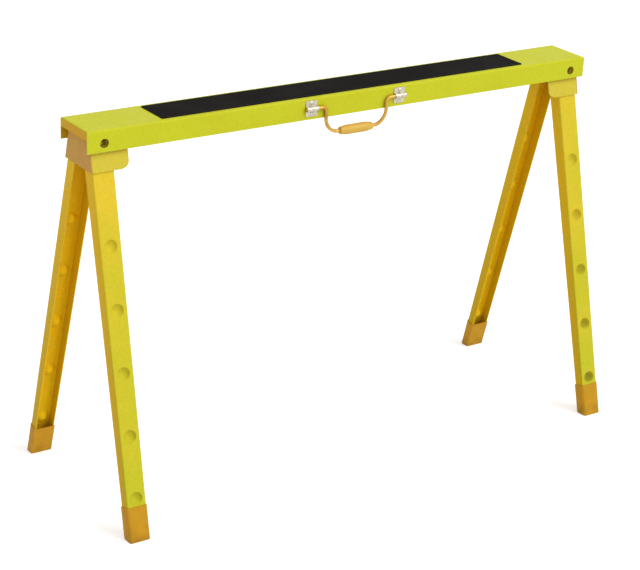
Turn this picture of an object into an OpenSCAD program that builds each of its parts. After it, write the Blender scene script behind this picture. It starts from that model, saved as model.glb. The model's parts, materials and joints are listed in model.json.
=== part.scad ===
// Folding builder's trestle: a pressed steel beam carried on four folding channel legs.
// X runs along the beam, the handle is on the -Y side, and Z is up from the floor.

/* [Beam] */
// Length of the beam
beam_length = 1000; // [850:1:1300]
// Width of the beam over its side flanges
beam_width = 89; // [84:1:120]
// Height of the beam's side flanges
beam_height = 36; // [34:1:60]
// Height of the beam's top face above the floor
top_height = 647; // [560:1:900]
// Sheet thickness of the beam
beam_sheet = 1.5; // [1:0.1:2.5]
// Outside radius of the beam's folds
beam_fold_r = 3; // [2.6:0.1:6]
// Height of the flap that is folded down at each end
flap_height = 15; // [12:1:24]
// Diameter of the key hole in the flange over each pivot bolt
key_hole_d = 15; // [8:0.5:17]

/* [Anti-slip strip] */
// Length of the anti-slip strip
strip_length = 727; // [300:1:800]
// Width of the anti-slip strip
strip_width = 70; // [30:1:76]
// Thickness of the anti-slip strip
strip_thick = 1.5; // [0.8:0.1:4]
// Corner radius of the anti-slip strip
strip_corner_r = 3; // [1:0.5:12]

/* [Legs] */
// Angle of each leg's web from the vertical, seen from the end of the beam
leg_splay = 14; // [8:0.5:16]
// Angle by which the open legs lean outwards along the beam
leg_lean = 0.75; // [0.25:0.05:2]
// Sheet thickness of the legs
leg_sheet = 1.5; // [1:0.1:2]
// Outside radius of the folds between web and flanges
leg_fold_r = 3; // [2.6:0.1:5]
// Width of the web at the pivot
leg_web_top = 39; // [34:0.5:42]
// Width of the web at the floor
leg_web_foot = 34.5; // [30:0.5:39]
// Depth of the flanges at the pivot
leg_depth_top = 25; // [18:0.5:26]
// Depth of the flanges at the floor
leg_depth_foot = 17.5; // [14:0.5:24]
// Diameter of the round dimples that are pressed into the web
leg_dimple_d = 22; // [12:0.5:23]
// Depth of the dimples
leg_dimple_depth = 6.5; // [2:0.5:7]
// Distance between the dimples along the web
leg_dimple_pitch = 102; // [60:1:104]
// Distance from the floor to the lowest dimple, measured along the web
leg_dimple_first = 71; // [71:1:90]
// Number of dimples along the web
leg_dimple_count = 5; // [1:1:5]

/* [Foot shoes] */
// Height of the foot shoe along the leg
shoe_height = 58; // [30:1:59]
// Wall thickness of the foot shoe
shoe_wall = 1.2; // [0.8:0.1:2]
// Thickness of the shoe's sole
shoe_sole = 4; // [2:0.5:8]
// Gap between the shoe and the leg
shoe_fit = 0.1; // [0.05:0.05:0.3]

/* [Leg brackets] */
// Length of the bracket along the beam
bracket_length = 66; // [60:1:90]
// Sheet thickness of the bracket
bracket_sheet = 2; // [1.5:0.1:2.5]
// Outside radius of the bracket's folds
bracket_fold_r = 4; // [3:0.5:6]
// Radius of the free lower corner of each bracket side
bracket_corner_r = 12; // [2:0.5:14]
// Distance from the beam's end flap in to the bracket's end wall
bracket_setback = 6.5; // [4:0.5:12]
// Distance that the bracket reaches below the pivots, along the web
bracket_drop = 44; // [40:0.5:50]
// Gap between the leg's round top and the bracket's roof
roof_gap = 2.6; // [1:0.1:6]

/* [Pivots] */
// Diameter of the pivot bolts
pivot_d = 8; // [6:0.5:10]
// Radial running clearance of the legs on the pivot bolts
pivot_play = 0.05; // [0.03:0.01:0.1]
// Diameter of the pivot bolt's button head
pivot_head_d = 14; // [12:0.5:16]
// Height of the pivot bolt's button head
pivot_head_h = 4.4; // [3.4:0.1:5]
// Gap between the pivot bolt's head and the beam's flange
pivot_head_gap = 2.7; // [1:0.1:6]
// Size of the hexagon key that fits the pivot bolt, across its flats
pivot_key = 5; // [3:0.5:6]
// Depth of the hexagon socket in the pivot bolt
pivot_key_depth = 2.6; // [1:0.1:3]
// Length of the pivot bolt past its lock nut
pivot_tail = 2; // [0.5:0.5:5]
// Size of the lock nut, across its flats
nut_across = 13; // [12:0.5:16]
// Height of the lock nut's hexagon
nut_height = 6.5; // [5:0.5:8]
// Height of the lock nut's nylon collar
nut_collar = 1.5; // [0.5:0.5:3]
// Diameter of the lock nut's nylon collar
nut_collar_d = 11.5; // [10.5:0.5:12]
// Diameter of the steel washer under the lock nut
washer_d = 16; // [15:0.5:20]
// Thickness of the steel washer under the lock nut
washer_thick = 1.6; // [1:0.1:2]
// Diameter of the friction washer between leg and bracket
friction_d = 26; // [18:0.5:30]
// Space for the friction washer between leg and bracket
friction_space = 1; // [0.6:0.1:2]
// Running gap on the flat faces of the friction washer and the leg
face_gap = 0.05; // [0.03:0.01:0.1]
// Gap between the open leg and the end wall that it rests on
rest_gap = 0.2; // [0.1:0.05:0.5]

/* [Carrying handle] */
// Diameter of the handle's wire
wire_d = 6; // [4:0.5:7]
// Distance between the centres of the two clips
clip_spacing = 178; // [160:1:240]
// Width of each clip along the beam
clip_width = 22; // [14:1:28]
// Height of each clip
clip_height = 27; // [25:0.5:28]
// Sheet thickness of the clips
clip_sheet = 1.2; // [0.8:0.1:1.6]
// Distance from the beam's top face down to the handle's axis
clip_drop = 17; // [16.5:0.5:18]
// Distance between the middles of the handle's arms
arm_width = 122; // [116:1:130]
// Length of wire that stands out past each clip
wire_tail = 1.5; // [0.5:0.5:4]
// Distance from the handle's axis down to the grip
handle_drop = 45; // [42:1:80]
// Bend radius at the top of the arms
arm_top_r = 8; // [6:0.5:8.5]
// Bend radius at the bottom of the arms
arm_low_r = 25; // [12:0.5:28]
// Diameter of the grip at its middle
grip_d = 16.5; // [13:0.5:18]
// Length of the grip
grip_length = 66; // [40:1:66]
// Diameter of the grip at its ends
grip_end_d = 13; // [10:0.5:16]
// Length of the tapered part at each end of the grip
grip_taper = 14; // [4:1:25]
// Radial running clearance of the wire in its clips
wire_play = 0.1; // [0.05:0.01:0.3]
// Gap between the hanging wire and the beam's flange
wire_gap = 0.8; // [0.3:0.05:1]

/* [Rivets] */
// Diameter of the clip rivets
clip_rivet_d = 4; // [3:0.5:4.5]
// Distance from the handle's axis to each clip rivet
clip_rivet_offset = 9.2; // [8.8:0.1:9.6]
// Diameter of a rivet's head as a multiple of its shank
rivet_head_ratio = 1.8; // [1.4:0.05:1.9]
// Height of a rivet's head as a multiple of its shank
rivet_head_height_ratio = 0.42; // [0.3:0.02:0.6]
// Clearance of a fastener in its hole
hole_play = 0.1; // [0.05:0.05:0.3]

/* [Hidden] */
$fn = 64;

// Colours
paint_yellow = "#cecc34";
leg_yellow = "#dcc841";
shoe_ochre = "#c89a32";
strip_black = "#1e1a16";
zinc = "#b9bcc0";
dark_steel = "#4a463f";
handle_gold = "#d0a63c";

// Cutting tools start this far outside the piece that they cut
over = 5;

// The bracket's folds stand proud of its sloping sides by this much
fold_proud = 0.02;

// Beam
beam_bottom = top_height - beam_height;
beam_roof = top_height - beam_sheet;
flange_y = beam_width / 2;
flange_inner_y = flange_y - beam_sheet;

// The outside face of the leg's web is the plane that everything at the pivot is set out from
leg_top_r = leg_web_top / 2;
bracket_roof = beam_roof - bracket_sheet;
pivot_z = bracket_roof - roof_gap - leg_top_r * cos(leg_splay);
side_outer = friction_space + bracket_sheet;
head_reach = (side_outer + pivot_head_h) * cos(leg_splay) + pivot_head_d / 2 * sin(leg_splay);
pivot_y = flange_inner_y - pivot_head_gap - head_reach;
leg_length = pivot_z / cos(leg_splay);
web_taper = atan((leg_web_top - leg_web_foot) / 2 / leg_length);
depth_slope = (leg_depth_top - leg_depth_foot) / leg_length;

// The open leg rests on the bracket's end wall, and touches it first at the wall's lower edge
bracket_end = beam_length / 2 - beam_sheet - bracket_setback;
bracket_start = bracket_end - bracket_length;
bracket_bottom = pivot_z - bracket_drop * cos(leg_splay);
rest_half = leg_top_r - bracket_drop * tan(web_taper);
rest_x = max(leg_top_r, rest_half * cos(leg_lean) + bracket_drop * sin(leg_lean));
pivot_x = bracket_end - bracket_sheet - rest_gap - rest_x;

// Ball whose cap is the hollow of a dimple
dimple_rim_r = leg_dimple_d / 2;
dimple_ball_r = (dimple_rim_r * dimple_rim_r / leg_dimple_depth + leg_dimple_depth) / 2;

// Pivot bolt, from its head outside the bracket to its end inside the leg
nut_start = leg_sheet + face_gap + washer_thick;
bolt_end = nut_start + nut_height + nut_collar + pivot_tail;
key_hole_run = (flange_y - pivot_y) / cos(leg_splay);
key_hole_z = pivot_z + key_hole_run * sin(leg_splay);

// Handle
handle_z = top_height - clip_drop;
wire_offset = wire_d / 2 + wire_gap;
handle_y = -flange_y - wire_offset;
hump_inner_r = wire_d / 2 + wire_play;
hump_outer_r = hump_inner_r + clip_sheet;
arm_x = arm_width / 2;
wire_end_x = clip_spacing / 2 + clip_width / 2 + wire_tail;

// Distance of the leg's web plane from the middle of the trestle at height z
function web_y(z) = pivot_y + (pivot_z - z) * tan(leg_splay);

// Depth of the leg's flanges at a place z along the web
function leg_depth(z) = leg_depth_top + z * depth_slope;

// Puts a shape drawn at a pivot on one corner: x outboard, y into the leg's channel, z up the web
module at_corner(right, front) {
    mirror([right ? 0 : 1, 0, 0])
        mirror([0, front ? 0 : 1, 0])
            translate([pivot_x, -pivot_y, pivot_z])
                rotate([-leg_splay, 0, 0])
                    children();
}

// The same shape on all four corners
module at_corners() {
    for (right = [true, false])
        for (front = [true, false])
            at_corner(right, front)
                children();
}

// A shape drawn for the right-hand end, on either end
module at_end(right) {
    mirror([right ? 0 : 1, 0, 0])
        children();
}

// Extrudes a profile drawn in the Y-Z plane along X, from one place to another
module along_x(from, to) {
    translate([from, 0, 0])
        rotate([90, 0, 90])
            linear_extrude(to - from)
                children();
}

// Round bar along +y from y = from to y = to
module bar_y(d, from, to) {
    translate([0, from, 0])
        rotate([-90, 0, 0])
            cylinder(d = d, h = to - from);
}

// Area to the left of x = grow and above y = -grow, with its corner rounded
module rounded_quadrant(grow, r, w, d) {
    translate([grow - w, r - grow])
        square([w, d - r]);
    translate([grow - w, -grow])
        square([w - r, d]);
    translate([grow - r, r - grow])
        circle(r);
}

// Domed button head: a cap of a ball on the plane y = 0, reaching to y = -h
module dome(d, h) {
    ball_r = (d * d / 4 + h * h) / (2 * h);
    intersection() {
        translate([0, ball_r - h, 0])
            sphere(ball_r);
        bar_y(d + over, -h - over, 0);
    }
}

// Solid rivet along +y: a domed head at y = 0 and a set tail after its grip
module rivet(d, grip) {
    head_d = d * rivet_head_ratio;
    head_h = d * rivet_head_height_ratio;
    dome(head_d, head_h);
    bar_y(d, -head_h / 2, grip + head_h / 2);
    translate([0, grip, 0])
        mirror([0, 1, 0])
            dome(head_d, head_h);
}

// Pressed beam: a tray turned over, with folded flanges and short folded end flaps
module beam_form(inset) {
    r = beam_fold_r - inset;
    half_w = flange_y - inset;
    half_l = beam_length / 2 - inset;
    top = top_height - inset;
    intersection() {
        along_x(-half_l - over, half_l + over)
            tray_profile(half_w, top, r);
        rotate([0, 0, 90])
            along_x(-half_w - over, half_w + over)
                tray_profile(half_l, top, r);
    }
}

module tray_profile(half, top, r) {
    depth = beam_height + over;
    translate([-half, top - depth])
        square([2 * half, depth - r]);
    translate([r - half, top - depth])
        square([2 * half - 2 * r, depth]);
    for (side = [-1, 1])
        translate([side * (half - r), top - r])
            circle(r);
}

module beam() {
    open_height = beam_height - flap_height;
    color(paint_yellow)
        difference() {
            beam_form(0);
            beam_form(beam_sheet);
            translate([-beam_length, -beam_width, beam_bottom - beam_height])
                cube([2 * beam_length, 2 * beam_width, beam_height]);
            // Below the flaps the ends are open between the flanges
            for (right = [true, false])
                at_end(right)
                    translate([beam_length / 2 - over, -flange_inner_y, beam_bottom - over])
                        cube([2 * over, 2 * flange_inner_y, open_height + over]);
            // Key holes over the pivot bolts, in both flanges
            for (end = [-1, 1])
                translate([end * pivot_x, 0, key_hole_z])
                    bar_y(key_hole_d, -flange_y - over, flange_y + over);
            // Rivet holes under the handle clips
            at_clip_rivets()
                bar_y(clip_rivet_d + 2 * hole_play, -over, over);
        }
}

module anti_slip_strip() {
    color(strip_black)
        translate([0, 0, top_height])
            linear_extrude(strip_thick)
                strip_outline();
}

module strip_outline() {
    square([strip_length - 2 * strip_corner_r, strip_width], center = true);
    square([strip_length, strip_width - 2 * strip_corner_r], center = true);
    for (x = [-1, 1])
        for (y = [-1, 1])
            translate([x * (strip_length / 2 - strip_corner_r), y * (strip_width / 2 - strip_corner_r)])
                circle(strip_corner_r);
}

// Tent-shaped outline of a bracket, at a distance outside the planes of the two leg webs
module tent(out, top, r, bottom) {
    centre_z = top - r;
    centre_y = web_y(centre_z) + (out - r + fold_proud) / cos(leg_splay);
    intersection() {
        union() {
            translate([-centre_y, bottom])
                square([2 * centre_y, top - bottom]);
            for (side = [0, 1])
                mirror([side, 0])
                    translate([centre_y, centre_z]) {
                        circle(r);
                        rotate(leg_splay)
                            translate([-centre_y, -beam_width])
                                square([centre_y + r - fold_proud, beam_width]);
                    }
        }
        translate([-beam_width, bottom])
            square([2 * beam_width, top - bottom + over]);
    }
}

// Tent-shaped form of a bracket from x = from to x = end, its top edge at the end rounded
module bracket_form(out, top, r, bottom, from, end) {
    intersection() {
        along_x(from, end)
            tent(out, top, r, bottom);
        rotate([90, 0, 0])
            linear_extrude(2 * beam_width, center = true) {
                translate([from - over, bottom - over])
                    square([end - r - from + over, top - bottom + 2 * over]);
                translate([from - over, bottom - over])
                    square([end - from + 2 * over, top - r - bottom + over]);
                translate([end - r, top - r])
                    circle(r);
            }
    }
}

// Pressed leg bracket: a roof under the beam, two sloping sides and an end wall
module leg_bracket(right) {
    inner_r = bracket_fold_r - bracket_sheet;
    inner_end = bracket_end - bracket_sheet;
    color(paint_yellow)
        at_end(right)
            difference() {
                bracket_form(
                    side_outer, beam_roof, bracket_fold_r,
                    bracket_bottom, bracket_start, bracket_end
                );
                bracket_form(
                    friction_space, bracket_roof, inner_r,
                    bracket_bottom - over, bracket_start - over, inner_end
                );
                for (front = [true, false])
                    at_corner(true, front)
                        bracket_side_cuts();
            }
}

// What is cut from one sloping side of a bracket
module bracket_side_cuts() {
    bar_y(pivot_d + 2 * hole_play, -side_outer - over, over);
    // Round lower corner on the free edge
    translate([bracket_start - pivot_x, 0, (bracket_bottom - pivot_z) / cos(leg_splay)])
        difference() {
            translate([-over, -side_outer - over, -over])
                cube([over + bracket_corner_r, side_outer + 2 * over, over + bracket_corner_r]);
            translate([bracket_corner_r, 0, bracket_corner_r])
                bar_y(2 * bracket_corner_r, -side_outer - 2 * over, 2 * over);
        }
}

// Filled form of a leg, its outside faces moved outwards by grow
module leg_envelope(grow, r) {
    for (side = [0, 1])
        mirror([side, 0, 0])
            intersection() {
                translate([leg_top_r, 0, 0])
                    rotate([0, web_taper, 0])
                        translate([0, 0, -leg_length - leg_web_top])
                            linear_extrude(leg_length + 2 * leg_web_top)
                                rounded_quadrant(grow, r, leg_web_top, leg_depth_top * 2);
                translate([0, -leg_web_top, -2 * leg_length])
                    cube([2 * leg_web_top, 4 * leg_web_top, 3 * leg_length]);
                depth_limit(grow);
            }
}

// Everything that is no deeper than the sloping edges of the flanges
module depth_limit(grow) {
    high = leg_web_top;
    low = -leg_length - leg_web_top;
    along_x(-leg_web_top, leg_web_top)
        polygon([
            [-leg_web_top, high],
            [leg_depth(high) + grow, high],
            [leg_depth(low) + grow, low],
            [-leg_web_top, low]
        ]);
}

// Leg drawn hanging from its pivot: a tapered channel with a row of dimples in its web
module leg_blank() {
    difference() {
        union() {
            leg_channel();
            at_dimples()
                dimple_boss();
        }
        at_dimples()
            dimple_ball(0);
    }
}

module leg_channel() {
    difference() {
        leg_envelope(0, leg_fold_r);
        leg_hollow();
        // Above the pivot the flanges end and the web is round
        translate([-leg_web_top, leg_sheet, 0])
            cube([2 * leg_web_top, 2 * leg_depth_top, 2 * leg_web_top]);
        difference() {
            translate([-leg_web_top, -over, 0])
                cube([2 * leg_web_top, leg_sheet + 2 * over, 2 * leg_web_top]);
            bar_y(leg_web_top, -2 * over, leg_sheet + 2 * over);
        }
        bar_y(pivot_d + 2 * pivot_play, -over, leg_sheet + over);
    }
}

// Places of the dimples along the web
module at_dimples() {
    for (i = [0 : leg_dimple_count - 1])
        translate([0, 0, leg_dimple_first + i * leg_dimple_pitch - leg_length])
            children();
}

// Ball that shapes a dimple, grown by the thickness of the sheet for its inner side
module dimple_ball(grow) {
    translate([0, leg_dimple_depth - dimple_ball_r, 0])
        sphere(dimple_ball_r + grow);
}

// The part of a dimple that stands up inside the channel
module dimple_boss() {
    intersection() {
        dimple_ball(leg_sheet);
        translate([-leg_web_top, leg_sheet / 2, -leg_web_top])
            cube([2 * leg_web_top, leg_depth_top, 2 * leg_web_top]);
    }
}

// Space inside the channel, open to the inner side
module leg_hollow() {
    inner_r = leg_fold_r - leg_sheet;
    for (side = [0, 1])
        mirror([side, 0, 0])
            intersection() {
                translate([leg_top_r, 0, 0])
                    rotate([0, web_taper, 0])
                        translate([0, 0, -leg_length - 2 * leg_web_top])
                            linear_extrude(leg_length + 4 * leg_web_top)
                                rounded_quadrant(-leg_sheet, inner_r, leg_web_top, leg_depth_top * 3);
                translate([-over, -leg_web_top, -2 * leg_length])
                    cube([2 * leg_web_top, 5 * leg_web_top, 3 * leg_length]);
            }
}

// Half-space below a level height
module below(z) {
    translate([-beam_length, -beam_length, z - 2 * top_height])
        cube([2 * beam_length, 2 * beam_length, 2 * top_height]);
}

module leg(right, front) {
    color(leg_yellow)
        difference() {
            at_corner(right, front)
                rotate([0, -leg_lean, 0])
                    leg_blank();
            below(shoe_sole);
        }
}

// Moulded shoe: a level sole under the leg and a closed sleeve round its foot
module foot_shoe(right, front) {
    grow = shoe_fit + shoe_wall;
    color(shoe_ochre)
        difference() {
            at_corner(right, front)
                rotate([0, -leg_lean, 0])
                    difference() {
                        leg_envelope(grow, leg_fold_r + grow);
                        translate([-2 * leg_web_top, -2 * leg_web_top, shoe_height - leg_length])
                            cube([4 * leg_web_top, 4 * leg_web_top, 2 * leg_length]);
                    }
            difference() {
                at_corner(right, front)
                    rotate([0, -leg_lean, 0])
                        leg_envelope(shoe_fit, leg_fold_r + shoe_fit);
                below(shoe_sole);
            }
            below(0);
        }
}

// Button-head bolt that a leg turns on, with a hexagon socket in its head
module pivot_bolt(right, front) {
    color(zinc)
        at_corner(right, front)
            difference() {
                union() {
                    translate([0, -side_outer, 0])
                        dome(pivot_head_d, pivot_head_h);
                    bar_y(pivot_d, -side_outer - pivot_head_h / 2, bolt_end);
                }
                translate([0, pivot_key_depth - side_outer - pivot_head_h, 0])
                    rotate([90, 0, 0])
                        cylinder(d = pivot_key / cos(30), h = pivot_head_h, $fn = 6);
            }
}

// Lock nut: a hexagon with a round nylon collar
module pivot_lock_nuts() {
    color(zinc)
        at_corners()
            translate([0, nut_start, 0])
                difference() {
                    union() {
                        rotate([-90, 0, 0])
                            cylinder(d = nut_across / cos(30), h = nut_height, $fn = 6);
                        bar_y(nut_collar_d, nut_height, nut_height + nut_collar);
                    }
                    bar_y(pivot_d + hole_play, -over, nut_height + nut_collar + over);
                }
}

module pivot_washers() {
    color(zinc)
        at_corners()
            difference() {
                bar_y(washer_d, leg_sheet + face_gap, nut_start);
                bar_y(pivot_d + 2 * hole_play, -over, nut_start + over);
            }
}

module pivot_friction_washers() {
    color(dark_steel)
        at_corners()
            difference() {
                bar_y(friction_d, -friction_space, -face_gap);
                bar_y(pivot_d + 2 * hole_play, -friction_space - over, over);
            }
}

// Saddle clip: a flat plate with a hump that holds one end of the handle's wire
module handle_clip(right) {
    color(zinc)
        difference() {
            at_end(right)
                translate([clip_spacing / 2, -flange_y, handle_z])
                    rotate([90, 0, -90])
                        linear_extrude(clip_width, center = true)
                            clip_profile();
            at_clip_rivets()
                bar_y(clip_rivet_d + 2 * hole_play, -over, over);
        }
}

module clip_profile() {
    difference() {
        union() {
            translate([0, -clip_height / 2])
                square([clip_sheet, clip_height]);
            hump_area(hump_outer_r, 0);
        }
        hump_area(hump_inner_r, over);
    }
}

// Round-topped area over the wire, standing on the flange
module hump_area(r, below_flange) {
    translate([wire_offset, 0])
        circle(r);
    translate([-below_flange, -r])
        square([wire_offset + below_flange, 2 * r]);
}

// Places of the clip rivets on the front flange, with y turned into the beam
module at_clip_rivets() {
    for (end = [-1, 1])
        for (side = [-1, 1])
            translate([end * clip_spacing / 2, -flange_y - clip_sheet, handle_z])
                translate([0, 0, side * clip_rivet_offset])
                    children();
}

module handle_clip_rivets() {
    color(zinc)
        at_clip_rivets()
            rivet(clip_rivet_d, clip_sheet + beam_sheet);
}

// Quarter bend of the handle's wire in the X-Z plane, round the point x, z
module wire_bend(x, z, r, start) {
    translate([x, 0, z])
        rotate([90, 0, 0])
            rotate([0, 0, start])
                rotate_extrude(angle = 90)
                    translate([r, 0])
                        circle(d = wire_d);
}

// Wire handle: ends turned outwards into the clips, straight arms and wide bends to the grip
module handle_bail() {
    end_run = wire_end_x - arm_x - arm_top_r;
    arm_run = handle_drop - arm_top_r - arm_low_r;
    low_run = arm_x - arm_low_r;
    color(handle_gold)
        translate([0, handle_y, handle_z])
            for (side = [0, 1])
                mirror([side, 0, 0]) {
                    translate([arm_x + arm_top_r, 0, 0])
                        rotate([0, 90, 0])
                            cylinder(d = wire_d, h = end_run);
                    wire_bend(arm_x + arm_top_r, -arm_top_r, arm_top_r, 90);
                    translate([arm_x, 0, -arm_top_r - arm_run])
                        cylinder(d = wire_d, h = arm_run);
                    wire_bend(arm_x - arm_low_r, arm_low_r - handle_drop, arm_low_r, 270);
                    translate([0, 0, -handle_drop])
                        rotate([0, 90, 0])
                            cylinder(d = wire_d, h = low_run);
                }
}

// Moulded grip on the straight part of the wire, with tapered ends
module handle_grip() {
    bore_r = (wire_d + hole_play) / 2;
    half = grip_length / 2;
    color(handle_gold)
        translate([0, handle_y, handle_z - handle_drop])
            rotate([0, 90, 0])
                rotate_extrude()
                    polygon([
                        [bore_r, -half],
                        [grip_end_d / 2, -half],
                        [grip_d / 2, grip_taper - half],
                        [grip_d / 2, half - grip_taper],
                        [grip_end_d / 2, half],
                        [bore_r, half]
                    ]);
}

beam();
anti_slip_strip();
leg_bracket(false);  // left_leg_bracket
leg_bracket(true);  // right_leg_bracket
leg(false, true);  // front_left_leg
leg(false, false);  // rear_left_leg
leg(true, true);  // front_right_leg
leg(true, false);  // rear_right_leg
foot_shoe(false, true);  // front_left_foot_shoe
foot_shoe(false, false);  // rear_left_foot_shoe
foot_shoe(true, true);  // front_right_foot_shoe
foot_shoe(true, false);  // rear_right_foot_shoe
pivot_bolt(false, true);  // front_left_pivot_bolt
pivot_bolt(false, false);  // rear_left_pivot_bolt
pivot_bolt(true, true);  // front_right_pivot_bolt
pivot_bolt(true, false);  // rear_right_pivot_bolt
pivot_lock_nuts();
pivot_washers();
pivot_friction_washers();
handle_bail();
handle_grip();
handle_clip(false);  // left_handle_clip
handle_clip(true);  // right_handle_clip
handle_clip_rivets();
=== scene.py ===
# %% [markdown]
# A folding builder's trestle is a pressed steel beam on four folded steel legs. Most of its shapes
# come ready-made from the CAD model, so this lesson is mainly about what the eye sees on them:
# enamel on sheet steel, zinc plate, moulded plastic and rubber. The bolts, nuts, grip and strip are
# made here as surfaces worked out with numpy, because they have relief that their solids leave plain.

# %% Load the trestle
import json
import math

import bpy
import numpy as np
from mathutils import Matrix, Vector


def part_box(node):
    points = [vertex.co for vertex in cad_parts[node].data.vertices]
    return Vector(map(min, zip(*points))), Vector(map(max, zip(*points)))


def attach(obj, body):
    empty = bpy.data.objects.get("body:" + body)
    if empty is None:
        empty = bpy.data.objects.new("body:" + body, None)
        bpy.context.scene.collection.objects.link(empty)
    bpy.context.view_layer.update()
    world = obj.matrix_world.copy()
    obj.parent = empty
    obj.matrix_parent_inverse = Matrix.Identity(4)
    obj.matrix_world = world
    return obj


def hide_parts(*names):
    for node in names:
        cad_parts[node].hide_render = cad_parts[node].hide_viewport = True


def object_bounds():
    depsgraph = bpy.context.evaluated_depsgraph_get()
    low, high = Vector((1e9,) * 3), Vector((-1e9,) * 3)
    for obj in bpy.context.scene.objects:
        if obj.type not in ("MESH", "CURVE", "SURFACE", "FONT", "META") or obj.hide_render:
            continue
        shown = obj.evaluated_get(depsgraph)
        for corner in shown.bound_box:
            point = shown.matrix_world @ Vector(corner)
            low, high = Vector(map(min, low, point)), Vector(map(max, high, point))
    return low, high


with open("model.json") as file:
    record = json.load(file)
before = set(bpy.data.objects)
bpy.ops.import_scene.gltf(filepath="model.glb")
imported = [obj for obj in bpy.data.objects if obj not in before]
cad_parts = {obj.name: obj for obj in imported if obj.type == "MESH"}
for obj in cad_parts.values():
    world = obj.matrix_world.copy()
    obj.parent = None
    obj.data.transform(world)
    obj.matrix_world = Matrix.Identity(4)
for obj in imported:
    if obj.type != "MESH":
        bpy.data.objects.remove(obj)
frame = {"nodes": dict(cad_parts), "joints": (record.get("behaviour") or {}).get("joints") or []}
cad_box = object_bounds()
nodes = frame["nodes"]
print("loaded", len(nodes), "nodes, from", tuple(cad_box[0]), "to", tuple(cad_box[1]))

# %% [markdown]
# The camera stands where the photographer stood. Its place, its three angles and its focal length
# were fitted to the corners of the beam and the strip, the feet and the edges of the legs, which is
# closer than placing it by eye. A camera looks along its own -Z axis, so its matrix holds the
# picture's right, the picture's up and the way back.

# %% Camera
CAMERA_AT = np.array([-1.808277, -2.549897, 1.574469])
YAW, PITCH, ROLL = np.radians([35.004, 22.462, 2.879])
FOCAL_PIXELS = 1935.1
PICTURE_WIDTH = 640


def looking(at, yaw, pitch, roll):
    """Looks along the compass angle yaw from +Y and pitch below level, then rolls about the line of sight."""
    ahead = np.array([math.sin(yaw) * math.cos(pitch), math.cos(yaw) * math.cos(pitch), -math.sin(pitch)])
    level = np.array([math.cos(yaw), -math.sin(yaw), 0.0])
    upward = np.cross(level, ahead)
    right = math.cos(roll) * level + math.sin(roll) * upward
    up = -math.sin(roll) * level + math.cos(roll) * upward
    matrix = np.eye(4)
    matrix[:3] = np.column_stack([right, up, -ahead, at])
    return Matrix(matrix.tolist())


lens = bpy.data.cameras.new("photo_camera")
lens.sensor_width = 36.0
lens.lens = FOCAL_PIXELS * lens.sensor_width / PICTURE_WIDTH
lens.clip_end = 100.0
camera = bpy.data.objects.new("photo_camera", lens)
camera.matrix_world = looking(CAMERA_AT, YAW, PITCH, ROLL)
bpy.context.scene.collection.objects.link(camera)
bpy.context.scene.camera = camera
bpy.context.scene.view_settings.view_transform = "Standard"
print("camera with a lens of", round(lens.lens, 1), "mm")

# %% [markdown]
# Every colour below is written as the sRGB hex value that a paint chart would give. Shaders work in
# linear light, so one function turns the hex value into it. Another function adds any node to a
# material: it sets the node's own options, fills its sockets with numbers, and links the sockets
# that are given another node's output. Sockets go by name or by number. A Map Range node has its
# value at 0, the range that it reads at 1 and 2, and the range that it gives at 3 and 4, which is
# nought to one if nothing is said. A Mix node has its share at 0, two numbers at 2 and 3, and two
# colours at 6 and 7. The other functions are short forms of steps that come up often.

# %% Helpers for materials
def linear(hex_colour):
    """Each channel c of the sRGB curve becomes ((c + 0.055) / 1.055) ** 2.4, or c / 12.92 near black."""
    channels = np.array([int(hex_colour[i : i + 2], 16) for i in (1, 3, 5)]) / 255
    lit = np.where(channels > 0.04045, ((channels + 0.055) / 1.055) ** 2.4, channels / 12.92)
    return (*lit.tolist(), 1.0)


def add(tree, kind, sockets=None, **settings):
    """Adds a node of that kind, and gives back its first output that is in use."""
    made = tree.nodes.new("ShaderNode" + kind)
    for name, value in settings.items():
        setattr(made, name, value)
    for socket, value in (sockets or {}).items():
        if isinstance(value, bpy.types.NodeSocket):
            tree.links.new(value, made.inputs[socket])
        else:
            made.inputs[socket].default_value = value
    return next(output for output in made.outputs if output.enabled)


def per_mm(size):
    """Scale of a pattern whose marks are that many millimetres apart, in a scene measured in metres."""
    return 1000.0 / size


def blank(name):
    """A new material with a plain shader. Gives the material, its tree, its shader and Object coordinates."""
    material = bpy.data.materials.new(name)
    material.use_nodes = True
    tree = material.node_tree
    place = add(tree, "TexCoord").node.outputs["Object"]
    return material, tree, tree.nodes["Principled BSDF"], place


def dress(material, *names):
    """Puts one material on some CAD nodes."""
    for name in names:
        mesh = nodes[name].data
        mesh.materials.clear()
        mesh.materials.append(material)
    print(material.name, "on", ", ".join(names))


print("half grey is", round(linear("#808080")[0], 3), "in linear light")

# %% [markdown]
# The studio is a pale floor under soft light. The world gives even light from all round, and one
# broad sun from the front right makes the ends darker than the front. A lamp close by would do too,
# but a sun's light doesn't fade with distance, so the whole length of the beam gets the same. The
# white behind the trestle is not more light: only the rays that the camera, a reflection or a
# refraction sees get it, so the floor still shows the trestle's shadow.

# %% Studio light
def seen_ray(tree):
    """One for a ray from the camera, a mirror or a glass, and nought for a ray that gathers light."""
    rays = add(tree, "LightPath").node.outputs
    bounced = {0: rays["Is Glossy Ray"], 1: rays["Is Transmission Ray"]}
    mirrored = add(tree, "Math", bounced, operation="MAXIMUM")
    return add(tree, "Math", {0: rays["Is Camera Ray"], 1: mirrored}, operation="MAXIMUM")


WORLD_LIGHT, WORLD_SEEN = 0.70, 1.0
SUN_LIGHT = 1.45
SUN_SPREAD = math.radians(40)
SUN_YAW, SUN_PITCH = np.radians([-36, 42])

world = bpy.data.worlds.new("studio")
world.use_nodes = True
bpy.context.scene.world = world
sky = world.node_tree.nodes["Background"]
sky.inputs["Color"].default_value = linear("#ffffff")
strength = add(world.node_tree, "Mix", {0: seen_ray(world.node_tree), 2: WORLD_LIGHT, 3: WORLD_SEEN})
world.node_tree.links.new(strength, sky.inputs["Strength"])

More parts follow.
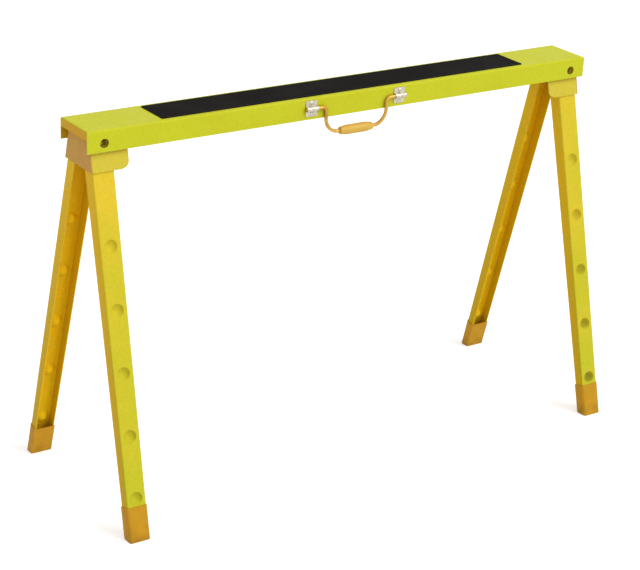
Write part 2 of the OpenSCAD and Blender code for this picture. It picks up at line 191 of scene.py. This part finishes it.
sun = bpy.data.objects.new("soft_sun", bpy.data.lights.new("soft_sun", "SUN"))
sun.data.energy = SUN_LIGHT
sun.data.angle = SUN_SPREAD
sun.matrix_world = looking(np.zeros(3), SUN_YAW, SUN_PITCH, 0.0)
bpy.context.scene.collection.objects.link(sun)
print("world at", WORLD_LIGHT, "and sun at", SUN_LIGHT)

# %% [markdown]
# The floor is a sheet of studio paper. A curved backdrop would hide the horizon too, but a wide flat
# sheet looks alike from every side. Its own glow, which only the camera and reflections see, lifts
# it to the white of the background.

# %% Floor
FLOOR_HALF = 12.0
FLOOR_GLOW = 0.42

floor_mesh = bpy.data.meshes.new("studio_floor")
floor_corners = np.array([(-1, -1, 0), (1, -1, 0), (1, 1, 0), (-1, 1, 0)], float) * FLOOR_HALF
floor_mesh.from_pydata(floor_corners.tolist(), [], [(0, 1, 2, 3)])
floor = bpy.data.objects.new("studio_floor", floor_mesh)
bpy.context.scene.collection.objects.link(floor)

paper, tree, shader = blank("studio_paper")[:3]
shader.inputs["Base Color"].default_value = linear("#e9e9e9")
shader.inputs["Roughness"].default_value = 0.9
shader.inputs["Specular IOR Level"].default_value = 0.1
shader.inputs["Emission Color"].default_value = linear("#ffffff")
glow = add(tree, "Math", {0: seen_ray(tree), 1: FLOOR_GLOW}, operation="MULTIPLY")
tree.links.new(glow, shader.inputs["Emission Strength"])
floor_mesh.materials.append(paper)
print("floor", 2 * FLOOR_HALF, "m wide")

# %% [markdown]
# The beam, the brackets and the legs are sprayed with enamel. Inside a channel, on the flanges of the legs,
# on the end flaps of the beam and on the end walls of the brackets, a warmer, more orange coat is painted in
# for the shade and the light bounced between the walls there. A mask could be painted by hand, but the place
# of a point and the way its face looks also tell where these faces are, for all the legs at once. The trestle
# is alike on both sides, so the signs of x and y lay its four corners on each other first.

# %% Where the shade is painted in
MM = 0.001
# Cosines of the angle from the web's own facing, above which a face is web and below which it isn't
ON_WEB, OFF_WEB = 0.4, 0.1
# Depths under the beam's skin between which the painted shade comes in
SKIN_DEPTH, SHADED_DEPTH = 0.9 * MM, 1.3 * MM
# Distances from the end of a bracket between which its end wall starts
WALL_START, WALL_FULL = 2.2 * MM, 1.9 * MM

leg_joint = next(joint for joint in frame["joints"] if joint["name"] == "front_left_leg_fold")
web_facing = np.abs(leg_joint["axis"])


def off_web(tree, place):
    """One on a flange or inside a channel, where a face doesn't look the way a leg's web does."""
    looks = place.node.outputs["Normal"]
    side = add(tree, "VectorMath", {0: place}, operation="SIGN")
    folded = add(tree, "VectorMath", {0: looks, 1: side}, operation="MULTIPLY")
    facing = add(tree, "VectorMath", {0: folded, 1: web_facing}, operation="DOT_PRODUCT").node
    return add(tree, "MapRange", {0: facing.outputs["Value"], 1: ON_WEB, 2: OFF_WEB})


def off_beam_skin(tree, place):
    """One inside the beam and on its end flaps, more than half a sheet from its sides and its top."""
    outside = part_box("beam")[1]
    folded = add(tree, "VectorMath", {0: place}, operation="ABSOLUTE")
    inward = add(tree, "VectorMath", {0: outside, 1: folded}, operation="SUBTRACT")
    away = add(tree, "SeparateXYZ", {0: inward}).node.outputs
    nearest = add(tree, "Math", {0: away["Y"], 1: away["Z"]}, operation="MINIMUM")
    return add(tree, "MapRange", {0: nearest, 1: SKIN_DEPTH, 2: SHADED_DEPTH})


def on_end_wall(tree, place):
    """One on the end wall of a bracket, which is the outermost 2 mm of its length."""
    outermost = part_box("right_leg_bracket")[1].x
    folded = add(tree, "VectorMath", {0: place}, operation="ABSOLUTE")
    along = add(tree, "SeparateXYZ", {0: folded})
    return add(tree, "MapRange", {0: along, 1: outermost - WALL_START, 2: outermost - WALL_FULL})


print("webs of the legs face", web_facing)

# %% [markdown]
# A dark olive darkens the legs' flanges and their dimples, more towards the floor. In the dimples it is
# painted shade, and the dimples of the right legs hold the most. A dimple needs no mark of its own: its floor
# looks the way the web does but lies some millimetres behind the web's plane.

# %% Where the legs are darkened
# Depths behind the web's plane where the painted shade in a dimple starts and where it is full
DIMPLE_RIM, DIMPLE_DEEP = 1 * MM, 5 * MM
# Cosines of the angle from the beam's length, below which a face is no flange and above which it is
OFF_FLANGE, ON_FLANGE = 0.5, 0.9
# Heights in metres where the darkening ends on a flange and the painted shade ends in a dimple
FLANGE_DARK_TOP, DIMPLE_SHADE_TOP = 0.6, 0.5
# Shares of dark olive on a flange above that height, on a flange at the floor and in a dimple there
FLANGE_HIGH, FLANGE_LOW, DIMPLE_LOW = 0.12, 0.36, 0.75
# The painted shade in the dimples fades to this share of it at the left end
LEFT_SHARE = 0.05


def points_of(node):
    """The corners of a CAD node's mesh, one in each row."""
    flat = np.empty(3 * len(nodes[node].data.vertices), np.float32)
    nodes[node].data.vertices.foreach_get("co", flat)
    return flat.reshape(-1, 3)


web_plane = (np.abs(points_of("front_left_leg")) @ web_facing).max()


def in_dimple(tree, place):
    """One deep in a dimple, where a face looks the way the web does but lies behind its plane."""
    folded = add(tree, "VectorMath", {0: place}, operation="ABSOLUTE")
    out = add(tree, "VectorMath", {0: folded, 1: web_facing}, operation="DOT_PRODUCT").node
    rim, deep = web_plane - DIMPLE_RIM, web_plane - DIMPLE_DEEP
    sunk = add(tree, "MapRange", {0: out.outputs["Value"], 1: rim, 2: deep})
    return add(tree, "Math", {0: sunk, 1: off_web(tree, place)}, operation="SUBTRACT", use_clamp=True)


def dimple_shade_and_flange_dark(tree, place):
    """Share of dark olive, which grows downwards: on the flanges, and as painted shade in the dimples, there
    most on the right.
    """
    at = add(tree, "SeparateXYZ", {0: place}).node.outputs
    folded = add(tree, "VectorMath", {0: place.node.outputs["Normal"]}, operation="ABSOLUTE")
    sideways = add(tree, "SeparateXYZ", {0: folded})
    flange = add(tree, "MapRange", {0: sideways, 1: OFF_FLANGE, 2: ON_FLANGE})
    flange_by_height = {0: at["Z"], 1: FLANGE_DARK_TOP, 2: 0.0, 3: FLANGE_HIGH, 4: FLANGE_LOW}
    flange_low = add(tree, "MapRange", flange_by_height)
    flange_dark = add(tree, "Math", {0: flange, 1: flange_low}, operation="MULTIPLY")
    low = add(tree, "MapRange", {0: at["Z"], 1: DIMPLE_SHADE_TOP, 2: 0.0, 3: 0.0, 4: DIMPLE_LOW})
    fade = {0: at["X"], 1: cad_box[0].x, 2: cad_box[1].x, 3: LEFT_SHARE, 4: 1.0}
    right = add(tree, "MapRange", fade)
    low_right = add(tree, "Math", {0: low, 1: right}, operation="MULTIPLY")
    dimple_and_flange = {0: in_dimple(tree, place), 1: low_right, 2: flange_dark}
    return add(tree, "Math", dimple_and_flange, operation="MULTIPLY_ADD")


print("the webs' plane lies", round(web_plane, 4), "m out")

# %% [markdown]
# Enamel flows before it hardens, so it is smooth with a faint orange peel and a satin gloss. Its
# tone drifts over a hand's breadth where the coat is thicker or thinner, and from the top of a leg
# down to its foot, because wet enamel runs. On folds and cut edges the coat chips off, and the
# steel shows. The Bevel node finds those edges, so nobody has to mark them: it bends the normal near
# them, and where the bent normal and the true one differ there is an edge.

# %% Enamel
DARK_OLIVE = "#6f5a1a"
BARE_STEEL, STEEL_ROUGH = "#8d8468", 0.55


def enamel(name, coat, low_coat, shaded_coat, where_shaded, smoothest, where_darkened=None):
    """Sprayed enamel: drifting tone, painted shade inside and in dimples, darker flanges, dust, orange peel,
    rubbed patches and chips.
    """
    material, tree, shader, place = blank(name)
    drift = add(tree, "TexNoise", {"Vector": place, "Scale": per_mm(140), "Detail": 3.0})
    height = add(tree, "SeparateXYZ", {0: place}).node.outputs["Z"]
    run_down = add(tree, "MapRange", {0: height, 1: cad_box[1].z, 2: 0.0, 3: -0.1, 4: 0.6})
    tone = add(tree, "Math", {0: drift, 1: run_down}, operation="ADD")
    share = add(tree, "MapRange", {0: tone, 1: 0.35, 2: 0.95})
    body = add(tree, "Mix", {0: share, 6: linear(coat), 7: linear(low_coat)}, data_type="RGBA")
    # Inside channels and on end faces a warmer coat is painted in as shade and bounced light, in bands about
    # 30 mm apart
    shade_bands = add(tree, "TexNoise", {"Vector": place, "Scale": per_mm(30), "Detail": 2.0})
    shade_cover = add(tree, "MapRange", {0: shade_bands, 1: 0.25, 2: 0.6, 3: 0.8, 4: 1.0})
    shaded_share = add(tree, "Math", {0: where_shaded(tree, place), 1: shade_cover}, operation="MULTIPLY")
    body = add(tree, "Mix", {0: shaded_share, 6: body, 7: linear(shaded_coat)}, data_type="RGBA")
    # Dust nibs in the coat are about half a millimetre, drawn at 5 mm so that they show
    nibs = add(tree, "TexNoise", {"Vector": place, "Scale": per_mm(5), "Detail": 2.0})
    nib_shade = add(tree, "MapRange", {0: nibs, 1: 0.3, 2: 0.75, 3: 0.94, 4: 1.03})
    body = add(tree, "Mix", {0: 1.0, 6: body, 7: nib_shade}, data_type="RGBA", blend_type="MULTIPLY")
    # Dark olive: painted shade in the dimples, and a darker tone on the flanges towards the floor
    if where_darkened:
        darkening = where_darkened(tree, place)
        body = add(tree, "Mix", {0: darkening, 6: body, 7: linear(DARK_OLIVE)}, data_type="RGBA")

    bent = add(tree, "Bevel", {"Radius": 1.6 * MM}, samples=6)
    flat = add(tree, "NewGeometry").node.outputs["Normal"]
    agree = add(tree, "VectorMath", {0: bent, 1: flat}, operation="DOT_PRODUCT").node
    edge = add(tree, "MapRange", {0: agree.outputs["Value"], 1: 0.985, 2: 0.86})
    # Chips are 2 to 6 mm long
    chips = add(tree, "TexNoise", {"Vector": place, "Scale": per_mm(7), "Detail": 4.0, "Roughness": 0.6})
    chip_edge = add(tree, "MapRange", {0: chips, 1: 0.57, 2: 0.62})
    bare = add(tree, "Math", {0: edge, 1: chip_edge}, operation="MULTIPLY")
    paint = add(tree, "Mix", {0: bare, 6: body, 7: linear(BARE_STEEL)}, data_type="RGBA")
    tree.links.new(paint, shader.inputs["Base Color"])

    # Hands rub the gloss into soft patches of about 60 mm, and bare steel is duller than enamel
    rub = add(tree, "TexNoise", {"Vector": place, "Scale": per_mm(60), "Detail": 3.0})
    rough = add(tree, "MapRange", {0: rub, 1: 0.3, 2: 0.75, 3: smoothest, 4: smoothest + 0.16})
    rough = add(tree, "Mix", {0: bare, 2: rough, 3: STEEL_ROUGH})
    tree.links.new(rough, shader.inputs["Roughness"])
    # Orange peel has waves of 2 mm, drawn at 4 mm
    peel = add(tree, "TexNoise", {"Vector": place, "Scale": per_mm(4), "Detail": 1.0})
    relief = add(tree, "Math", {0: peel, 1: bare}, operation="SUBTRACT")
    bump = add(tree, "Bump", {"Height": relief, "Strength": 0.12, "Distance": 0.4 * MM})
    tree.links.new(bump, shader.inputs["Normal"])
    shader.inputs["IOR"].default_value = 1.5
    shader.inputs["Specular IOR Level"].default_value = 0.07
    return material


print("enamel with grime of", DARK_OLIVE)

# %% [markdown]
# The beam is sprayed yellow-green. The legs are a warmer yellow that turns greener towards their
# feet, and the brackets are a duller one. One function makes all three coats, so they have the same
# grain, and each takes the mask that suits its own folds.

# %% Coats of the beam, the brackets and the legs
CORNERS = ("front_left", "rear_left", "front_right", "rear_right")

# The third colour of each coat is painted shade for the inside of channels and the end faces
beam_enamel = enamel("enamel_on_pressed_beam", "#ccce2a", "#c3be24", "#d6a11c", off_beam_skin, 0.38)
bracket_enamel = enamel("enamel_on_folded_brackets", "#d6c440", "#c6ad34", "#c9974a", on_end_wall, 0.42)
leg_enamel = enamel("enamel_on_folded_legs", "#e6c634", "#c6c22a", "#f2c30c", off_web, 0.4, dimple_shade_and_flange_dark)
dress(beam_enamel, "beam")
dress(bracket_enamel, "left_leg_bracket", "right_leg_bracket")
dress(leg_enamel, *[corner + "_leg" for corner in CORNERS])

# %% [markdown]
# The shoes are moulded polypropylene in ochre. The mould is spark-eroded, which leaves a fine
# leathery matt. Near the floor the plastic is scuffed and dirty. A picture could carry the dirt, but
# height and noise need no unwrapping: the dirt grows towards the floor, and noise breaks it up.

# %% Plastic of the shoes
DIRT_TOP = 45 * MM

shoe_plastic, tree, shader, place = blank("moulded_polypropylene_shoe")
height = add(tree, "SeparateXYZ", {0: place}).node.outputs["Z"]
blotch = add(tree, "TexNoise", {"Vector": place, "Scale": per_mm(18), "Detail": 4.0})
near_floor = add(tree, "MapRange", {0: height, 1: DIRT_TOP, 2: 0.0})
dirty = add(tree, "Math", {0: near_floor, 1: blotch}, operation="MULTIPLY")
dirt = add(tree, "MapRange", {0: dirty, 1: 0.25, 2: 0.75, 3: 0.0, 4: 0.5})
ochre = add(tree, "Mix", {0: blotch, 6: linear("#cc9a1e"), 7: linear("#bd8716")}, data_type="RGBA")
ochre = add(tree, "Mix", {0: dirt, 6: ochre, 7: linear("#6d5522")}, data_type="RGBA")
tree.links.new(ochre, shader.inputs["Base Color"])
rough = add(tree, "MapRange", {0: blotch, 1: 0.3, 2: 0.7, 3: 0.45, 4: 0.62})
tree.links.new(rough, shader.inputs["Roughness"])
# Spark erosion leaves pits of 0.3 mm, drawn at 1.5 mm
pits = add(tree, "TexNoise", {"Vector": place, "Scale": per_mm(1.5), "Detail": 2.0})
bump = add(tree, "Bump", {"Height": pits, "Strength": 0.3, "Distance": 0.3 * MM})
tree.links.new(bump, shader.inputs["Normal"])
shader.inputs["IOR"].default_value = 1.49
shader.inputs["Specular IOR Level"].default_value = 0.15
dress(shoe_plastic, *[corner + "_foot_shoe" for corner in CORNERS])

# %% [markdown]
# Nuts, washers, rivets and the handle's clips are zinc plated, which is a pale grey metal with faint cloudy
# patches. The bolts sit behind the key holes of the beam, and their zinc is painted a darker, dull olive as
# the shade of the yellow holes round them. The handle's wire is zinc with a yellow passivation, which gives a
# soft gold. All are metals, so one function makes them.

# %% Plated metals
def plated(name, face, cloud, smoothest, cloud_mm):
    """Plated metal: two close tones in clouds, with the roughness following them, and fine forming marks."""
    material, tree, shader, place = blank(name)
    cloud_noise = {"Vector": place, "Scale": per_mm(cloud_mm), "Detail": 4.0, "Roughness": 0.6}
    clouds = add(tree, "TexNoise", cloud_noise)
    share = add(tree, "MapRange", {0: clouds, 1: 0.35, 2: 0.68})
    colour = add(tree, "Mix", {0: share, 6: linear(face), 7: linear(cloud)}, data_type="RGBA")
    tree.links.new(colour, shader.inputs["Base Color"])
    rough = add(tree, "MapRange", {0: clouds, 1: 0.3, 2: 0.7, 3: smoothest, 4: smoothest + 0.18})
    tree.links.new(rough, shader.inputs["Roughness"])
    # Drawing and forming marks are 0.4 mm apart, drawn at 1 mm
    marks = add(tree, "TexNoise", {"Vector": place, "Scale": per_mm(1.0), "Detail": 2.0})
    bump = add(tree, "Bump", {"Height": marks, "Strength": 0.15, "Distance": 0.2 * MM})
    tree.links.new(bump, shader.inputs["Normal"])
    shader.inputs["Metallic"].default_value = 1.0
    return material


zinc_plate = plated("bright_zinc_plate", "#cfc8b6", "#b2ac9c", 0.34, 6)
# The bolts' dull olive is painted shade for the key holes of the beam
olive_zinc_painted_shade = plated("olive_zinc_bolt_painted_shade", "#a89f3e", "#7f7830", 0.52, 3)
gold_zinc = plated("yellow_passivated_wire", "#d3aa52", "#ba8e3c", 0.36, 14)
dress(zinc_plate, "pivot_washers", "handle_clip_rivets", "left_handle_clip", "right_handle_clip")
dress(gold_zinc, "handle_bail")

# %% [markdown]
# The grip is moulded plastic in amber, and the friction washers are pressed fibre. Both are matt to
# silky, and both get their tone from slow clouds, as the metals do, so one function makes them too.

# %% Plastic of the grip, and fibre of the washers
def moulded(name, face, cloud, smoothest, grain_mm):
    """Moulded piece: a slow drift of tone, a soft sheen, and the grain of its mould."""
    material, tree, shader, place = blank(name)
    clouds = add(tree, "TexNoise", {"Vector": place, "Scale": per_mm(20), "Detail": 3.0})
    colour = add(tree, "Mix", {0: clouds, 6: linear(face), 7: linear(cloud)}, data_type="RGBA")
    tree.links.new(colour, shader.inputs["Base Color"])
    rough = add(tree, "MapRange", {0: clouds, 1: 0.3, 2: 0.7, 3: smoothest, 4: smoothest + 0.15})
    tree.links.new(rough, shader.inputs["Roughness"])
    grain = add(tree, "TexNoise", {"Vector": place, "Scale": per_mm(grain_mm), "Detail": 2.0})
    bump = add(tree, "Bump", {"Height": grain, "Strength": 0.2, "Distance": 0.3 * MM})
    tree.links.new(bump, shader.inputs["Normal"])
    shader.inputs["Specular IOR Level"].default_value = 0.3
    return material


grip_plastic = moulded("moulded_abs_grip", "#dfb64e", "#d2a540", 0.34, 2)
fibre = moulded("pressed_fibre_washer", "#3a362f", "#2b2823", 0.7, 1)
dress(fibre, "pivot_friction_washers")

# %% [markdown]
# A piece that was turned, threaded or extruded is a stack of rings: its surface has one parameter
# along a profile and one round the ring. A Screw modifier could turn a profile as well, but in an
# array the radius may also change round the ring, as a socket, a thread and a hexagon need. Rings
# follow each other ahead, and the points of a ring go round that line as a right-hand screw turns,
# so every face looks outwards without a check.

# %% Stacks of rings
AROUND = 72
turn = np.linspace(0, 2 * np.pi, AROUND, endpoint=False)


def rings_about(centre, ahead, along, radius):
    """A point lies along times ahead from the centre, and radius times (cos turn, sin turn) off that line."""
    aside = np.eye(3)[np.argmin(np.abs(ahead))]
    across = np.cos(turn)[:, None] * aside + np.sin(turn)[:, None] * np.cross(ahead, aside)
    along, radius = np.broadcast_arrays(along, radius)
    return centre + along[..., None] * ahead + radius[..., None] * across


def stacked(centre, ahead, profile):
    """One stack of rings about a line. The profile gives pairs of the way along and the radius there."""
    stack = []
    for along, radius in profile:
        all_round = np.atleast_2d(radius) * np.ones(AROUND)
        stack.append(rings_about(centre, ahead, np.atleast_2d(along), all_round))
    return np.concatenate(stack)


def ring_faces(rows, around, hollow):
    """Four-sided faces from ring to ring. A hollow stack closes on itself, a full one gets two caps."""
    row, point = np.meshgrid(np.arange(rows if hollow else rows - 1), np.arange(around), indexing="ij")
    next_row, next_point = (row + 1) % rows, (point + 1) % around
    loops = [(row, point), (row, next_point), (next_row, next_point), (next_row, point)]
    sides = np.stack([a * around + b for a, b in loops], axis=-1).reshape(-1, 4)
    first_ring = np.arange(around)[None]
    return [sides] if hollow else [sides, first_ring[:, ::-1], first_ring + (rows - 1) * around]


print("rings of", AROUND, "points")

# %% [markdown]
# A stack becomes a mesh that takes the place of a CAD node and moves with that node's body. Its
# sizes are measured on the solid that it stands for, so it fits where the solid fits. Edges that
# turn by more than a limit stay crisp, and the others are shaded smooth.

# %% From rings to a piece
SHARP_FROM = math.radians(32)
# A corner with at least this share of the largest size counts as lying at the largest
FULL_SHARE = 0.99


def make_piece(name, stacks, hollow, material, slot, body, *stands_for):
    """One mesh of some equal stacks of rings, which rides on a body in place of some CAD nodes."""
    rows, around = stacks[0].shape[:2]
    points = np.concatenate([stack.reshape(-1, 3) for stack in stacks])
    faces = []
    for start in np.arange(len(stacks)) * rows * around:
        for part in ring_faces(rows, around, hollow):
            faces += (part + start).tolist()
    mesh = bpy.data.meshes.new(name)
    mesh.from_pydata(points.tolist(), [], faces)
    mesh.materials.append(material)
    mesh.shade_smooth()
    mesh.set_sharp_from_angle(angle=SHARP_FROM)
    piece = bpy.data.objects.new(name, mesh)
    bpy.context.scene.collection.objects.link(piece)
    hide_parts(*stands_for)
    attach(piece, body)
    print(name, "with", len(faces), "faces for", ", ".join(stands_for))


def solid_about(node, centre, ahead, within):
    """Distances along and off an axis for a solid's corners that lie near the centre."""
    offset = points_of(node) - centre
    offset = offset[np.linalg.norm(offset, axis=1) < within]
    along = offset @ ahead
    return along, np.linalg.norm(offset - along[:, None] * ahead, axis=1)


print("edges are crisp from", round(math.degrees(SHARP_FROM)), "degrees")

# %% [markdown]
# A leg turns on a button-head bolt. Its head is a cap of a ball with a hexagon socket pressed into
# it, its shank is plain where the leg turns, and its tail is threaded for the nut. The thread is a
# radius that rises and falls once per pitch along the bolt and is shifted by one pitch per turn.

# %% Pivot bolts
SOCKET_ACROSS, SOCKET_DEPTH, SOCKET_CHAMFER = 5 * MM, 2.6 * MM, 0.25 * MM
CROWN_RINGS = 14
THREAD_START, THREAD_PITCH, THREAD_DEPTH = 3.2 * MM, 1.25 * MM, 0.65 * MM
RINGS_PER_PITCH = 8
TAIL_CHAMFER = 0.8 * MM
# A bolt and its nut lie this near to their pivot
NEAR = 25 * MM


def pivot_line(joint):
    """The pivot of a leg, and the way from the outside in along its bolt."""
    pivot = np.array(joint["pos_m"])
    return pivot, np.array(joint["axis"]) * -np.sign(joint["axis"][1] * pivot[1])


def hexagon(across):
    """Radius round a hexagon: half its width over the cosine of the angle from the nearest flat."""
    return across / 2 / np.cos(turn % (np.pi / 3) - np.pi / 6)


def bolt_rings(joint, node):
    """Socket floor, socket wall, ball-shaped head, plain shank, thread, and a chamfer at the tail."""
    pivot, inward = pivot_line(joint)
    along, radius = solid_about(node, pivot, inward, NEAR)
    head_radius = radius.max()
    head_top, tail, seat = along.min(), along.max(), along[radius > FULL_SHARE * head_radius].max()
    shank = radius[along > 0].max()
    head_height = seat - head_top
    ball = (head_radius**2 + head_height**2) / (2 * head_height)

    mouth = hexagon(SOCKET_ACROSS) + SOCKET_CHAMFER
    crown = mouth + np.linspace(0, 1, CROWN_RINGS)[:, None] * (head_radius - mouth)
    crown_at = head_top + ball - np.sqrt(ball**2 - crown**2)
    thread_at = np.arange(THREAD_START, tail - TAIL_CHAMFER, THREAD_PITCH / RINGS_PER_PITCH)[:, None]
    wave = np.abs(2 * ((thread_at / THREAD_PITCH - turn / (2 * np.pi)) % 1) - 1)
    thread = shank - THREAD_DEPTH * wave

    profile = [
        (head_top + SOCKET_DEPTH, mouth - SOCKET_CHAMFER),
        (crown_at[:1] + SOCKET_CHAMFER, mouth - SOCKET_CHAMFER),
        (crown_at, crown),
        (seat, shank),
        (THREAD_START, shank),
        (thread_at, thread),
        (tail, shank - TAIL_CHAMFER),
    ]
    return stacked(pivot, inward, profile)


for joint in frame["joints"]:
    corner = joint["name"].removesuffix("_leg_fold")
    if corner in CORNERS:
        node = corner + "_pivot_bolt"
        rings = bolt_rings(joint, node)
        make_piece(node + "_threaded", [rings], False, olive_zinc_painted_shade, "zinc_plate", "frame", node)

# %% [markdown]
# Each bolt carries a lock nut. A nut is a hexagon whose corners are turned off by a cone at both
# ends, so its radius is the smaller of hexagon and cone. A round collar on top holds the nylon ring
# that keeps it from working loose. The last ring joins the first one, which makes the bore.

# %% Lock nuts
# The cone leaves a round face of this share of the width, and lies in this share of the height
FACE_SHARE, CONE_SHARE = 0.95, 0.15
CONE_SLOPE = math.tan(math.radians(60))
CONE_RINGS = 7
COLLAR_ROUND, COLLAR_RINGS = 0.5 * MM, 5
# Corners of the solid that lie this near to its end belong to the collar
END_BAND = 0.1 * MM


def nut_rings(joint):
    """Hexagon cut by a cone at each end, a collar with a rounded rim, and the bore."""
    pivot, inward = pivot_line(joint)
    along, radius = solid_about("pivot_lock_nuts", pivot, inward, NEAR)
    corner_radius, bore = radius.max(), radius.min()
    across = 2 * corner_radius * math.cos(math.pi / 6)
    seat, top, end = along.min(), along[radius > FULL_SHARE * corner_radius].max(), along.max()
    collar = radius[along > end - END_BAND].max()

    lower = np.linspace(0, CONE_SHARE, CONE_RINGS)
    upper = np.linspace(1 - CONE_SHARE, 1, CONE_RINGS)
    hex_at = np.concatenate([lower, upper])[:, None] * (top - seat)
    cone = FACE_SHARE * across / 2 + CONE_SLOPE * np.minimum(hex_at, top - seat - hex_at)
    rim = np.linspace(0, np.pi / 2, COLLAR_RINGS)[:, None]
    profile = [
        (seat, bore),
        (seat + hex_at, np.minimum(hexagon(across), cone)),
        (top, collar),
        (end + COLLAR_ROUND * (np.sin(rim) - 1), collar + COLLAR_ROUND * (np.cos(rim) - 1)),
        (end, bore),
    ]
    return stacked(pivot, inward, profile)


nuts = [nut_rings(joint) for joint in frame["joints"] if joint["name"].endswith("_leg_fold")]
make_piece("pivot_lock_nuts_chamfered", nuts, True, zinc_plate, "zinc_plate", "frame", "pivot_lock_nuts")

# %% [markdown]
# The grip is moulded over the handle's wire. It swells towards the middle of the hand and its ends
# are rounded. The swelling is a smooth step over the tapered length, and the rounding takes a
# quarter of a circle off each end. Rows follow a sine, so that they lie close where it curves most.

# %% Grip
GRIP_TAPER = 16 * MM
GRIP_ROUND = 2.2 * MM
GRIP_ROWS = 61
GRIP_AHEAD = np.array([1.0, 0, 0])

grip_low, grip_high = (np.array(corner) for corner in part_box("handle_grip"))
centre, half = (grip_low + grip_high) / 2, (grip_high - grip_low)[0] / 2
along, radius = solid_about("handle_grip", centre, GRIP_AHEAD, within=np.inf)
bore, swell, end_radius = radius.min(), radius.max(), radius[np.abs(along) > FULL_SHARE * half].max()
grip_at = half * np.sin(np.linspace(-np.pi / 2, np.pi / 2, GRIP_ROWS))[:, None]
from_end = half - np.abs(grip_at)
step = np.clip(from_end / GRIP_TAPER, 0, 1)
swelling = (swell - end_radius) * step**2 * (3 - 2 * step)
into_round = np.clip(1 - from_end / GRIP_ROUND, 0, 1)
rounding = GRIP_ROUND * (1 - np.sqrt(1 - into_round**2))
grip_profile = [(-half, bore), (grip_at, end_radius + swelling - rounding), (half, bore)]
grip_rings = stacked(centre, GRIP_AHEAD, grip_profile)
make_piece("handle_grip_moulded", [grip_rings], True, grip_plastic, "grip_plastic", "handle", "handle_grip")

# %% [markdown]
# The strip on the top is extruded black rubber with fine ribs along it, so that timber does not
# slide. It is nearly black and quite matt: carbon black takes up most of the light, and traffic
# polishes it in patches, which also hold some pale dust.

# %% Rubber of the strip
rubber, tree, shader, place = blank("extruded_black_rubber")
# Rubber's skin has a grain of 0.5 mm, drawn at 2 mm
skin = add(tree, "TexNoise", {"Vector": place, "Scale": per_mm(2), "Detail": 3.0, "Roughness": 0.7})
grain = add(tree, "MapRange", {0: skin, 1: 0.3, 2: 0.75})
black = add(tree, "Mix", {0: grain, 6: linear("#161413"), 7: linear("#211e1d")}, data_type="RGBA")
wear = add(tree, "TexNoise", {"Vector": place, "Scale": per_mm(90), "Detail": 4.0})
dust = add(tree, "MapRange", {0: wear, 1: 0.5, 2: 0.8, 3: 0.0, 4: 0.25})
black = add(tree, "Mix", {0: dust, 6: black, 7: linear("#2f2b27")}, data_type="RGBA")
tree.links.new(black, shader.inputs["Base Color"])
matt = add(tree, "MapRange", {0: wear, 1: 0.3, 2: 0.8, 3: 0.95, 4: 0.75})
tree.links.new(matt, shader.inputs["Roughness"])
bump = add(tree, "Bump", {"Height": skin, "Strength": 0.4, "Distance": 0.4 * MM})
tree.links.new(bump, shader.inputs["Normal"])
shader.inputs["Specular IOR Level"].default_value = 0.08
print(rubber.name, "mixed")

# %% [markdown]
# An extruded strip is one cross-section carried along its length, so its rings stand upright and
# follow each other along X. Ribs could be laid on a plain strip one by one, but one cross-section
# keeps the surface closed. Each ring runs along the flat underside and back over the ribs. Near the
# ends the rings grow narrower, which rounds the corners as a cutting die does.

# %% Anti-slip strip
RIBS, RIB_POINTS, RIB_DEPTH = 24, 8, 0.5 * MM
EDGE_BAND = 3 * MM
STRIP_CORNER, CORNER_RINGS = 3 * MM, 7
STRAIGHT_RINGS = 12

strip_low, strip_high = (np.array(corner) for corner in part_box("anti_slip_strip"))
half_x, half_y = (strip_high - strip_low)[:2] / 2
corner_turn = np.linspace(0, np.pi / 2, CORNER_RINGS)
end_at = half_x - STRIP_CORNER * (1 - np.sin(corner_turn))
straight_at = np.linspace(0, half_x - STRIP_CORNER, STRAIGHT_RINGS, endpoint=False)
right_at = np.concatenate([straight_at, end_at])
strip_at = np.concatenate([-right_at[:0:-1], right_at])[:, None]
into_corner = np.clip(np.abs(strip_at) - (half_x - STRIP_CORNER), 0, STRIP_CORNER)
narrowed = 1 - (STRIP_CORNER - np.sqrt(STRIP_CORNER**2 - into_corner**2)) / half_y

rib_y = np.linspace(half_y, -half_y, RIBS * RIB_POINTS + 1)
in_ribs = np.abs(rib_y) < half_y - EDGE_BAND
groove = RIB_DEPTH * in_ribs * np.sin(np.pi * RIBS * rib_y / (2 * half_y)) ** 2
ring_y = np.concatenate([[-half_y, half_y], rib_y])
ring_z = np.concatenate([[strip_low[2], strip_low[2]], strip_high[2] - groove])
strip_rings = np.stack(np.broadcast_arrays(strip_at, narrowed * ring_y, ring_z), axis=-1)
make_piece("anti_slip_strip_ribbed", [strip_rings], False, rubber, "strip_rubber", "frame", "anti_slip_strip")
